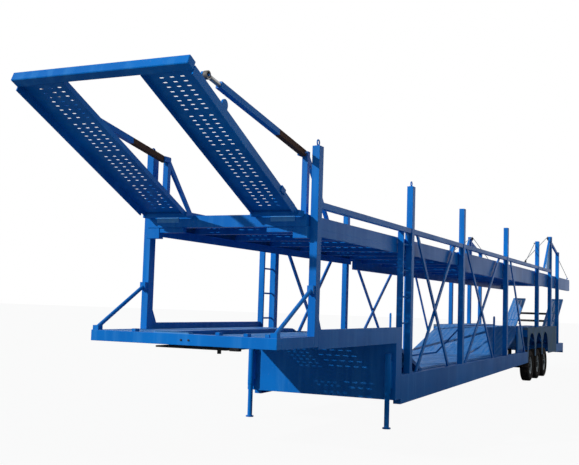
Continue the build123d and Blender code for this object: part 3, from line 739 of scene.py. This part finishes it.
def head_ramp():
    """Slotted tracks with deep outer flanges, hinge barrels, lugs for the props, a round lug and a small
    block on each outer edge, and the tip beam."""
    place = incline(RAMP_HINGE, (-cos(RAMP_TILT), 0, sin(RAMP_TILT)))
    top = TRACK_DEPTH / 2
    half = TRACK_INNER + TRACK_WIDTH
    length = RAMP_LENGTH - RAMP_START
    treads = place @ Matrix.Translation((RAMP_START, 0, top))
    rows = slot_rows(length, 4, margin=0.09, gap=0.045, pitch=0.075)
    along, rise = EYE_PLACE
    lug_foot, lug_head = 0.060, 0.030
    eye_lug = ((along - lug_foot, top), (along + lug_foot, top), (along + lug_head, rise + lug_head),
               (along - lug_head, rise + lug_head))
    pin_start, pin_end, pin_radius = EYE_LUG[0], HEAD_MAST_MIDDLE + 0.030, 0.012
    lug, lug_radius = 2.070, 0.060
    lug_inner, lug_outer = half - 0.023, half - 0.003
    arc = [(lug + lug_radius * cos(pi * n / 10), lug_radius + lug_radius * sin(pi * n / 10))
           for n in range(11)]
    round_lug = [(lug + lug_radius, top)] + arc + [(lug - lug_radius, top)]
    ramp, tip = Shape(), Shape()
    for side in SIDES:
        pan(ramp, treads, length, TRACK_INNER, TRACK_WIDTH, side, rows,
            columns=3, edges=(0.10, 0.15), slot=0.055, ribs=9)
        flange = (side * (half - FLANGE_IN), side * (half + FLANGE_OUT))
        ramp.slab((FLANGE_START, FLANGE_END), flange, (-FLANGE_DROP, top + FLANGE_RISE), place)
        ramp.rod((0, side * TRACK_INNER, 0), (0, side * half, 0), BARREL, 24, place=place)
        ramp.prism(eye_lug, side * EYE_LUG[0], side * EYE_LUG[1], place)
        ramp.rod((along, side * pin_start, rise), (along, side * pin_end, rise), pin_radius, 12, place=place)
        ramp.prism(round_lug, side * lug_inner, side * lug_outer, place)
        ramp.slab((0.45, 0.56), (side * half, side * (half + 0.018)), (-0.03, 0.04), place)
    piece("head_ramp_dressed", ramp, "head_ramp", "frame_blue", bevel=0, stands_for=("head_ramp",))
    tip.slab((RAMP_LENGTH, RAMP_LENGTH + TIP_BEAM), (-half, half), (-top, TIP_RISE), place)
    piece("head_ramp_tip", tip, "head_ramp", "frame_blue", bevel=0.008)


def tail_ramp():
    """Narrower slotted tracks on hinge barrels, joined by two dark bars."""
    place = incline(TAIL_HINGE, (cos(TAIL_TILT), 0, sin(TAIL_TILT)))
    outer = TAIL_TRACK_INNER + TAIL_TRACK_WIDTH
    length = TAIL_RAMP_LENGTH - RAMP_START
    treads = place @ Matrix.Translation((RAMP_START, 0, TRACK_DEPTH / 2))
    rows = slot_rows(length, 3)
    ramp, bars = Shape(), Shape()
    for side in SIDES:
        pan(ramp, treads, length, TAIL_TRACK_INNER, TAIL_TRACK_WIDTH, side, rows,
            columns=3, edges=(0.06, 0.06))
        ramp.rod((0, side * TAIL_TRACK_INNER, 0), (0, side * outer, 0), BARREL, 24, place=place)
    piece("tail_ramp_treads", ramp, "tail_ramp", "tread_blue", bevel=0, stands_for=("tail_ramp",))
    for bar in (1.500, 2.000):
        bars.slab((bar, bar + 0.08), (-TAIL_TRACK_INNER, TAIL_TRACK_INNER), (-0.03, 0.01), place)
    piece("tail_ramp_bars", bars, "tail_ramp", "chassis_dark")


# Wheels

TYRE_STEPS = 144
SHOULDER = 0.372
GROOVES = (-0.058, 0.0, 0.058)
GROOVE_MOUTH = 0.007
GROOVE_FOOT = 0.005
GROOVE_FLOOR = TYRE_RADIUS - 0.012
CUT_DEPTH = 0.007
CUT_EVERY = 4
NUTS = 10
NUT_CIRCLE = 0.096
NUT_RADIUS = 0.013
NUT_ENDS = (0.049, 0.072)
HOLE_CIRCLE = 0.158
HOLE_RADIUS = 0.021
HOLE_ENDS = (0.050, 0.072)
CAP_ENDS = (0.079, 0.098)
CAP_RADII = (0.066, 0.052)


def tyre_outline():
    """Pairs of (across, radius): one sidewall, the grooved tread and the other sidewall."""
    sidewall = [(-0.084, 0.232), (-0.100, 0.244), (-0.112, 0.270), (-0.119, 0.306), (-0.118, 0.340),
                (-0.108, SHOULDER), (-0.098, 0.390), (-0.088, 0.397)]
    tread = []
    for groove in GROOVES:
        tread += [(groove - GROOVE_MOUTH, TYRE_RADIUS), (groove - GROOVE_FOOT, GROOVE_FLOOR),
                  (groove + GROOVE_FOOT, GROOVE_FLOOR), (groove + GROOVE_MOUTH, TYRE_RADIUS)]
    return sidewall + tread + [(-across, radius) for across, radius in reversed(sidewall)]


def tyre_cuts(step, radius):
    """Depth of the cuts across the tread and shoulders, which leave the grooves' floors whole."""
    cut = step % CUT_EVERY == 0 and radius >= SHOULDER and radius != GROOVE_FLOOR
    return CUT_DEPTH if cut else 0


def wheel(number, side_name, side, station):
    """Tyre, wheel nuts with the hub's cap, and dark discs of painted shade in the rim's hand-hole openings.
    """
    body = f"wheel_{number}_{side_name}"
    centre = Vector((at(station), side * WHEEL_MIDDLE, TYRE_RADIUS))
    out = Vector((0, side, 0))
    tyre = Shape().turned(tyre_outline(), centre, out, TYRE_STEPS, tyre_cuts)
    piece(f"tyre_tread_{number}_{side_name}", tyre, body, "tyre_rubber", bevel=0, smooth=True,
          stands_for=(f"tyre_{number}_{side_name}",))
    nuts, hole_shades = Shape(), Shape()
    for n in range(NUTS):
        angle = 2 * pi * n / NUTS
        spoke = Vector((cos(angle), 0, sin(angle)))
        nut = centre + spoke * NUT_CIRCLE
        nuts.rod(nut + out * NUT_ENDS[0], nut + out * NUT_ENDS[1], NUT_RADIUS, 6)
        # Dark disc on every other spoke: painted shade in a hand hole of the rim
        if n % 2:
            hole = centre + spoke * HOLE_CIRCLE
            hole_shades.rod(hole + out * HOLE_ENDS[0], hole + out * HOLE_ENDS[1], HOLE_RADIUS, 20)
    nuts.rod(centre + out * CAP_ENDS[0], centre + out * CAP_ENDS[1], CAP_RADII[0], 32, CAP_RADII[1])
    piece(f"wheel_nuts_{number}_{side_name}", nuts, body, "chassis_dark", bevel=0.002)
    piece(f"rim_hole_shades_{number}_{side_name}", hole_shades, body, "chassis_dark", "rubber", bevel=0)


# Cables that hold the tilting deck: over pulleys on the mast heads, to the deck's end and to the rail

CABLE = 0.009
CABLE_SIDE = 1.130
CABLE_FOOT_SIDE = 1.112
CABLE_LIFT = 0.050
MAST_HEAD = (MAST_STATION, 4.000)
MAST_PULLEY_RADIUS = 0.055
RAIL_PULLEY = (14.000, 3.110)
RAIL_PULLEY_RADIUS = 0.045
POST_PIN = (POST_STATIONS[4], 3.700)
DECK_LUG = (21.740, 2.975)


def spot(place, y, lift=0.0):
    """Point at a (station, height) pair."""
    return Vector((at(place[0]), y, place[1] + lift))


def cables(side_name, side):
    """Long cable from the mast's head to the deck, and the two that stay put."""
    head, foot = spot(MAST_HEAD, side * CABLE_SIDE, CABLE_LIFT), spot(DECK_LUG, side * CABLE_FOOT_SIDE)
    rear_cable = Shape().rope(head, foot, CABLE, 24)
    made = piece(f"deck_cable_{side_name}", rear_cable, None, "bare_steel", "zinc", bevel=0, smooth=True)
    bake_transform(made)
    front_cables = Shape()
    front_cables.rope(head, spot(RAIL_PULLEY, side * CABLE_SIDE, RAIL_PULLEY_RADIUS), CABLE)
    front_cables.rope(spot(POST_PIN, side * CABLE_SIDE), spot(RAIL_PULLEY, side * CABLE_SIDE), CABLE)
    piece(f"mast_cables_{side_name}", front_cables, "root", "bare_steel", "zinc", bevel=0, smooth=True)


def cross_pin(shape, place, side, half, radius, sides):
    """Round bar across the trailer, with the cables at its middle."""
    shape.rod(spot(place, side * (CABLE_SIDE - half)), spot(place, side * (CABLE_SIDE + half)), radius, sides)


def cable_fittings():
    """Pulleys on masts and rail, pins on the fifth posts, and lugs on the tilting deck's end."""
    pulleys, lugs = Shape(), Shape()
    station, height = DECK_LUG
    foot, head = height - 0.045, height + 0.025
    lug = [(at(station + s), z) for s, z in ((-0.06, foot), (0.06, foot), (0.02, head), (-0.02, head))]
    for side in SIDES:
        for place, radius in ((MAST_HEAD, MAST_PULLEY_RADIUS), (RAIL_PULLEY, RAIL_PULLEY_RADIUS)):
            cross_pin(pulleys, place, side, 0.012, radius, 32)
            cross_pin(pulleys, place, side, 0.030, 0.014, 16)
        cross_pin(pulleys, POST_PIN, side, 0.025, 0.016, 16)
        lugs.prism(lug, side * 1.085, side * 1.100)
        lugs.rod(spot(DECK_LUG, side * 1.080), spot(DECK_LUG, side * 1.125), 0.014, 12)
    piece("cable_pulleys", pulleys, "root", "chassis_dark")
    piece("deck_cable_lugs", lugs, "rear_deck", "frame_blue")


# Fittings of masts and posts

MAST_PLATE_SIDES = (1.188, 1.212)
MAST_PLATES = (((16.86, RAIL_TOP), (17.43, RAIL_TOP), (17.43, 3.96), (17.33, 3.93)),
               ((17.57, RAIL_TOP), (17.80, RAIL_TOP), (17.62, 3.90), (17.57, 3.90)))
POST_FEET = (1.510, LOW_DECK_TOP, LOW_DECK_TOP, LOW_DECK_TOP, HUMP_TOP)
GUSSET_LENGTH = 0.170
FOOT_GUSSET_RISE = 0.300
FOOT_GUSSET_SIDES = (1.198, 1.208)
RAIL_GUSSET_DROP = 0.190
RAIL_GUSSET_SIDES = (1.195, 1.207)
EYE_RADIUS = 0.034
EYE_WIRE = 0.009
EYE_PLATE_HALF = 0.030
EYE_PLATE = 0.008
EYE_RISE = 0.045


def side_view(outline):
    """Pairs of (x, z) from pairs of (station, height)."""
    return [(at(station), height) for station, height in outline]


def mast_plates():
    """Light tapered plates that make each mast an A."""
    plates = Shape()
    for side in SIDES:
        for outline in MAST_PLATES:
            plates.prism(side_view(outline), *(side * y for y in MAST_PLATE_SIDES))
    piece("mast_plates", plates, "root", "frame_blue", "pale_blue")


def post_gussets():
    """Three-cornered plates behind the feet of the posts, and under the rail ahead of all but the first."""
    gussets = Shape()
    for side in SIDES:
        for number, (station, foot) in enumerate(zip(POST_STATIONS, POST_FEET)):
            front, back = station - POST_LENGTH / 2, station + POST_LENGTH / 2
            at_foot = ((back, foot), (back + GUSSET_LENGTH, foot), (back, foot + FOOT_GUSSET_RISE))
            gussets.prism(side_view(at_foot), *(side * y for y in FOOT_GUSSET_SIDES))
            if number:
                at_rail = ((front - GUSSET_LENGTH, RAIL_BOTTOM), (front, RAIL_BOTTOM),
                           (front, RAIL_BOTTOM - RAIL_GUSSET_DROP))
                gussets.prism(side_view(at_rail), *(side * y for y in RAIL_GUSSET_SIDES))
    piece("post_gussets", gussets, "root", "frame_blue")


def post_eyes():
    """Lifting eyes on small plates, on the tops of the first two posts of each side."""
    eyes = Shape()
    wire = [(across, EYE_RADIUS + up) for across, up, _ in ring(EYE_WIRE, 10)]
    for side in SIDES:
        for station in POST_STATIONS[:2]:
            x, y = at(station), side * POST_MIDDLE
            eyes.slab((x - EYE_PLATE_HALF, x + EYE_PLATE_HALF), (y - EYE_PLATE_HALF, y + EYE_PLATE_HALF),
                      (POST_TOP, POST_TOP + EYE_PLATE))
            eyes.turned(wire, (x, y, POST_TOP + EYE_RISE), (0, 1, 0), 24)
    piece("post_eyes", eyes, "root", "frame_blue", bevel=0, smooth=True)


# Fittings of the front beam and the nose

def front_beam():
    """Pale pads, brackets under the beam and corner blocks beside the front posts."""
    pads, brackets = Shape(), Shape()
    for side in SIDES:
        pads.block((-0.168, -0.160), (0.66, 0.99), (2.812, 2.880), side)
        brackets.block((-0.140, -0.060), (0.60, 1.02), (2.685, 2.750), side)
        brackets.block((-0.150, -0.050), (0.960, POST_INNER + 0.004), (2.610, 2.753), side)
    piece("front_beam_pads", pads, "root", "frame_blue", "pale_blue")
    piece("front_beam_brackets", brackets, "root", "frame_blue")


def nose():
    """Two bolts, a ribbed tread bar and latches on top, and a rubber pad below."""
    bolts, bar, pad, latches = Shape(), Shape(), Shape(), Shape()
    bolt_height = 1.360
    rib_width, rib_pitch = 0.012, 0.030
    for y in (-0.025, -0.125):
        bolts.rod((at(-1.099), y, bolt_height), (at(-1.110), y, bolt_height), 0.013, 6)
    piece("nose_bolts", bolts, "root", "chassis_dark", bevel=0.001)
    bar.block((-1.090, -0.990), (-0.120, 0.360), (GOOSENECK_TOP, GOOSENECK_TOP + 0.010))
    for n in range(16):
        rib = -0.110 + n * rib_pitch
        bar.block((-1.092, -0.988), (rib, rib + rib_width), (GOOSENECK_TOP + 0.008, GOOSENECK_TOP + 0.020))
    piece("nose_tread_bar", bar, "root", "frame_blue", "pale_blue", bevel=0.002)
    pad.block((-1.100, -1.030), (-0.780, -0.660), (1.262, 1.300))
    piece("nose_pad", pad, "root", "chassis_dark", "rubber")
    for y in (0.620, -0.520, -0.880, -1.150):
        latches.block((-1.085, -1.000), (y, y + 0.055), (GOOSENECK_TOP, GOOSENECK_TOP + 0.035))
    piece("nose_latches", latches, "root", "frame_blue")


# Fittings of the sides, the tilting deck's end and the control box

def side_fittings():
    """Stakes on the low beams, wide ladder stiles, and the lip of the fixed upper deck."""
    stakes, stiles, lips = Shape(), Shape(), Shape()
    stake, stake_top = 10.010, 1.650
    for side in SIDES:
        stakes.block((stake - 0.020, stake + 0.020), (1.180, 1.220), (LOW_DECK_TOP, stake_top), side)
        cap = Vector((at(stake), side * 1.200, stake_top))
        stakes.rod(cap, cap + Vector((0, 0, 0.035)), 0.024, 20, 0.016)
        stiles.block((3.312, 3.350), (1.150, 1.245), (LOW_DECK_TOP, RAIL_BOTTOM), side)
        lips.block((-0.040, 7.200), (1.120, 1.141), (2.655, 2.753), side)
    piece("deck_stakes", stakes, "root", "frame_blue")
    piece("ladder_stiles", stiles, "root", "frame_blue")
    piece("fixed_deck_lips", lips, "root", "frame_blue")


def deck_buffers():
    """Rubber buffers on the tilting deck's end."""
    buffers = Shape()
    for side in SIDES:
        buffers.block((DECK_END, DECK_END + 0.018), (1.055, 1.132), (2.600, 2.890), side)
    piece("deck_buffers", buffers, "rear_deck", "tyre_rubber", "rubber", bevel=0.006)


def control_box():
    """Door, its handle, and a round knob on a stem on top of the box."""
    door, knobs = Shape(), Shape()
    knob, knob_y = at(13.350), -1.120
    door.block((13.050, 13.650), (-1.140, -1.147), (0.850, 1.380))
    piece("control_box_door", door, "root", "frame_blue", "pale_blue", bevel=0.002)
    knobs.block((13.580, 13.620), (-1.146, -1.162), (1.050, 1.190))
    knobs.rod((knob, knob_y, 1.438), (knob, knob_y, 1.500), 0.012, 12)
    knobs.rod((knob, knob_y, 1.490), (knob, knob_y, 1.540), 0.030, 24, 0.022)
    piece("control_box_knobs", knobs, "root", "chassis_dark", "rubber")


# All pieces of the trailer, from the decks to the small fittings
wheel_tracks("gooseneck_treads", "root", "gooseneck_tracks", GOOSENECK_RUNS)
wheel_tracks("lower_treads", "root", "lower_tracks", LOWER_RUNS)
wheel_tracks("upper_treads", "root", "upper_tracks", UPPER_RUNS, DECK_INSIDE - TRACK_INNER)
wheel_tracks("rear_deck_treads", "rear_deck", "rear_deck_tracks", REAR_RUNS, DECK_INSIDE - TRACK_INNER)
middle_floor("gooseneck_floor", "root", GOOSENECK_RUNS, FLOOR_DROP)
middle_floor("lower_floor", "root", LOWER_RUNS, LOWER_FLOOR_DROP)
middle_floor("upper_floor", "root", UPPER_RUNS, FLOOR_DROP)
middle_floor("rear_deck_floor", "rear_deck", REAR_RUNS, FLOOR_DROP)
head_ramp()
tail_ramp()
for number, station in enumerate(AXLE_STATIONS, start=1):
    for side_name, side in NAMED_SIDES:
        wheel(number, side_name, side, station)
for side_name, side in NAMED_SIDES:
    cables(side_name, side)
cable_fittings()
mast_plates()
post_gussets()
post_eyes()
front_beam()
nose()
side_fittings()
deck_buffers()
control_box()


# Camera, light and floor

PHOTO_WIDTH = 579
FOCAL_PIXELS = 904.124
SENSOR_WIDTH = 36
CAMERA_PLACE = (at(-10.069), -5.572, 1.802)
CAMERA_YAW = radians(25.143)
CAMERA_PITCH = radians(4.564)
CAMERA_ROLL = radians(1.76)
SUN_LIGHT = 3.0
SUN_COLOUR = (1.0, 0.98, 0.95)
SUN_SIZE = radians(0.9)
SUN_TOWARDS = (-0.70, 0.50, 0.45)
SKY_COLOUR = (0.72, 0.95, 1.0, 1)
SKY_LIGHT = 0.33
FLOOR_COLOUR = (0.24, 0.25, 0.27, 1)
FLOOR_WHITE = 0.94
FLOOR_HALF = 150


def camera():
    lens = bpy.data.cameras.new("camera")
    lens.sensor_width = SENSOR_WIDTH
    lens.sensor_fit = "HORIZONTAL"
    lens.lens = FOCAL_PIXELS / PHOTO_WIDTH * SENSOR_WIDTH
    lens.clip_end = 500
    seen_by = bpy.data.objects.new("camera", lens)
    bpy.context.scene.collection.objects.link(seen_by)
    level = cos(CAMERA_PITCH)
    look = Vector((level * cos(CAMERA_YAW), level * sin(CAMERA_YAW), sin(CAMERA_PITCH)))
    turn = look.to_track_quat("-Z", "Y").to_matrix().to_4x4()
    seen_by.matrix_world = Matrix.Translation(CAMERA_PLACE) @ turn @ Matrix.Rotation(CAMERA_ROLL, 4, "Z")
    bpy.context.scene.camera = seen_by


def sun():
    light = bpy.data.lights.new("sun", "SUN")
    light.energy = SUN_LIGHT
    light.angle = SUN_SIZE
    light.color = SUN_COLOUR
    lamp = bpy.data.objects.new("sun", light)
    bpy.context.scene.collection.objects.link(lamp)
    lamp.matrix_world = Vector(SUN_TOWARDS).to_track_quat("Z", "Y").to_matrix().to_4x4()


def light_path(tree, name):
    return tree.nodes.new("ShaderNodeLightPath").outputs[name]


def surroundings():
    """Soft even light; white where the camera, a reflection or glass sees it."""
    world = bpy.data.worlds.new("surroundings")
    bpy.context.scene.world = world
    world.use_nodes = True
    tree = world.node_tree
    lit = tree.nodes["Background"]
    lit.inputs["Color"].default_value = SKY_COLOUR
    lit.inputs["Strength"].default_value = SKY_LIGHT
    white = tree.nodes.new("ShaderNodeBackground")
    white.inputs["Color"].default_value = (1, 1, 1, 1)
    white.inputs["Strength"].default_value = 1.0
    seen = light_path(tree, "Is Camera Ray")
    for name in ("Is Glossy Ray", "Is Transmission Ray"):
        either = tree.nodes.new("ShaderNodeMath")
        either.operation = "MAXIMUM"
        tree.links.new(seen, either.inputs[0])
        tree.links.new(light_path(tree, name), either.inputs[1])
        seen = either.outputs[0]
    mix = tree.nodes.new("ShaderNodeMixShader")
    tree.links.new(seen, mix.inputs[0])
    tree.links.new(lit.outputs[0], mix.inputs[1])
    tree.links.new(white.outputs[0], mix.inputs[2])
    tree.links.new(mix.outputs[0], tree.nodes["World Output"].inputs["Surface"])


def floor():
    """Pale ground that takes the shadows, and that the camera sees as almost white."""
    mesh = bpy.data.meshes.new("floor")
    corners = [(x * FLOOR_HALF, y * FLOOR_HALF, 0) for x, y in ((-1, -1), (1, -1), (1, 1), (-1, 1))]
    mesh.from_pydata(corners, [], [(0, 1, 2, 3)])
    ground = bpy.data.objects.new("floor", mesh)
    bpy.context.scene.collection.objects.link(ground)
    pale = bpy.data.materials.new("floor_pale")
    pale.use_nodes = True
    tree = pale.node_tree
    matt = tree.nodes["Principled BSDF"]
    matt.inputs["Base Color"].default_value = FLOOR_COLOUR
    matt.inputs["Roughness"].default_value = 0.95
    glow = tree.nodes.new("ShaderNodeEmission")
    glow.inputs["Strength"].default_value = 1.0
    share = tree.nodes.new("ShaderNodeMath")
    share.operation = "MULTIPLY"
    share.inputs[1].default_value = FLOOR_WHITE
    tree.links.new(light_path(tree, "Is Camera Ray"), share.inputs[0])
    mix = tree.nodes.new("ShaderNodeMixShader")
    tree.links.new(share.outputs[0], mix.inputs[0])
    tree.links.new(matt.outputs[0], mix.inputs[1])
    tree.links.new(glow.outputs[0], mix.inputs[2])
    tree.links.new(mix.outputs[0], tree.nodes["Material Output"].inputs["Surface"])
    mesh.materials.append(pale)


camera()
sun()
surroundings()
floor()
bpy.context.scene.view_settings.view_transform = "Standard"
